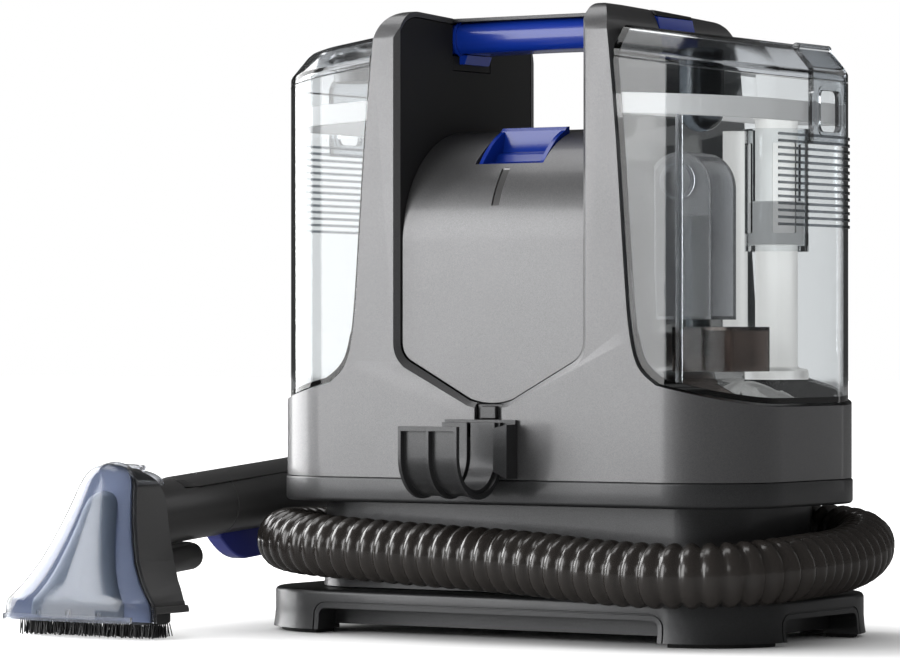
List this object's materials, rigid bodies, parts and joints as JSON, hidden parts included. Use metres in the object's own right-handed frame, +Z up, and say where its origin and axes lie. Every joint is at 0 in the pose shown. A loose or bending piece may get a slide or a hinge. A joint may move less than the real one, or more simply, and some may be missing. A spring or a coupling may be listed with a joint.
{
  "type": "spot extractor",
  "caption": "Portable spray-and-suction spot cleaner with clear lift-off tanks either side of a through handle, a corrugated hose wound round its neck and a hand tool beside it.",
  "frame": {"origin": "centre of the footprint of the machine and its hand tool together, on the floor they stand on", "axes": "+X to the machine's right seen from its front, +Y to its back, +Z up"},
  "size_m": [0.4448, 0.5242, 0.353],
  "materials": {
    "silver_paint": "metallic paint on moulded plastic",
    "charcoal_plastic": "fine-grained moulded plastic",
    "black_plastic": "semi-gloss moulded plastic",
    "blue_plastic": "gloss moulded plastic",
    "violet_plastic": "satin moulded plastic",
    "clear_plastic": "clear polycarbonate",
    "smoke_plastic": "dark translucent flexible plastic",
    "grey_plastic": "moulded plastic",
    "white_plastic": "moulded plastic",
    "foot_rubber": "matt rubber",
    "steel": "turned steel",
    "board_green": "circuit board",
    "bristle": "nylon bristle"
  },
  "bodies": {
    "machine": {"body_shell": "silver_paint", "centre_cover": "silver_paint", "rear_cover": "silver_paint", "base_plate": "charcoal_plastic", "neck_shell": "charcoal_plastic", "ring_band": "charcoal_plastic", "pylon_liner_left": "charcoal_plastic", "pylon_liner_right": "charcoal_plastic", "handle_strap": "charcoal_plastic", "tool_cradle": "charcoal_plastic", "cradle_stub": "charcoal_plastic", "handle_strip": "charcoal_plastic", "power_inlet": "black_plastic", "status_lamp": "black_plastic", "switch_block": "black_plastic", "motor_mount": "black_plastic", "vacuum_motor": "black_plastic", "suction_duct": "black_plastic", "pump_cradle": "black_plastic", "board_tray": "black_plastic", "hose_cuff": "black_plastic", "hose_port": "black_plastic", "tool_handle": "black_plastic", "tool_cuff": "black_plastic", "tool_head": "black_plastic", "brush_block": "black_plastic", "spray_tube": "black_plastic", "handle_grip": "blue_plastic", "suction_hose": "smoke_plastic", "pump": "grey_plastic", "foot_pad_front_left": "foot_rubber", "foot_pad_front_right": "foot_rubber", "foot_pad_rear_left": "foot_rubber", "foot_pad_rear_right": "foot_rubber", "rocker_pin": "steel", "strip_screw": "steel", "trigger_pin": "steel", "control_board": "board_green", "brush_bristles": "bristle"},
    "clean_tank": {"clean_tank": "clear_plastic"},
    "clean_valve": {"clean_valve": "charcoal_plastic"},
    "clean_lid": {"clean_lid": "clear_plastic", "clean_seal": "grey_plastic"},
    "fill_cap": {"fill_cap": "charcoal_plastic"},
    "clean_latch": {"clean_latch": "clear_plastic"},
    "waste_tank": {"waste_tank": "clear_plastic", "standpipe": "grey_plastic", "float_cage": "clear_plastic", "separator_tower": "grey_plastic", "splash_baffle": "black_plastic"},
    "float": {"float": "white_plastic"},
    "waste_lid": {"waste_lid": "clear_plastic", "waste_seal": "grey_plastic"},
    "waste_latch": {"waste_latch": "clear_plastic"},
    "power_rocker": {"power_rocker": "blue_plastic"},
    "impeller": {"impeller": "grey_plastic"},
    "trigger": {"trigger": "violet_plastic"},
    "suction_hood": {"suction_hood": "clear_plastic"}
  },
  "joints": [
    {"name": "clean_tank_lift", "type": "slide", "parent": "machine", "child": "clean_tank", "axis": [0, 0, 1], "range_m": [0, 0.12]},
    {"name": "clean_valve_poppet", "type": "slide", "parent": "clean_tank", "child": "clean_valve", "axis": [0, 0, 1], "range_m": [0, 0.003], "stiffness_N_per_m": 60},
    {"name": "clean_lid_lift", "type": "slide", "parent": "clean_tank", "child": "clean_lid", "axis": [0, 0, 1], "range_m": [0, 0.05]},
    {"name": "fill_cap_turn", "type": "hinge", "parent": "clean_lid", "child": "fill_cap", "pos_m": [-0.07715, 0.0201, 0.332], "axis": [0, 0, 1], "range_deg": [0, 90]},
    {"name": "clean_latch_swing", "type": "hinge", "parent": "clean_lid", "child": "clean_latch", "pos_m": [-0.10645, 0.0651, 0.3289], "axis": [0, 1, 0], "range_deg": [0, 70]},
    {"name": "waste_tank_lift", "type": "slide", "parent": "machine", "child": "waste_tank", "axis": [0, 0, 1], "range_m": [0, 0.12]},
    {"name": "float_rise", "type": "slide", "parent": "waste_tank", "child": "float", "axis": [0, 0, 1], "range_m": [0, 0.038]},
    {"name": "waste_lid_lift", "type": "slide", "parent": "waste_tank", "child": "waste_lid", "axis": [0, 0, 1], "range_m": [0, 0.05]},
    {"name": "waste_latch_swing", "type": "hinge", "parent": "waste_lid", "child": "waste_latch", "pos_m": [0.19615, 0.0651, 0.3289], "axis": [0, -1, 0], "range_deg": [0, 70]},
    {"name": "rocker_press", "type": "hinge", "parent": "machine", "child": "power_rocker", "pos_m": [0.04485, 0.0141, 0.266], "axis": [1, 0, 0], "range_deg": [0, 7], "stiffness_Nm_per_rad": 0.5},
    {"name": "impeller_spin", "type": "hinge", "parent": "machine", "child": "impeller", "pos_m": [0.04485, 0.0501, 0.125], "axis": [0, 0, 1], "continuous": true},
    {"name": "trigger_pull", "type": "hinge", "parent": "machine", "child": "trigger", "pos_m": [-0.15815, -0.00926, 0.05873], "axis": [1, 0, 0], "range_deg": [0, 10], "stiffness_Nm_per_rad": 0.3},
    {"name": "hood_pull", "type": "slide", "parent": "machine", "child": "suction_hood", "axis": [0, -1, 0], "range_m": [0, 0.06]}
  ]
}
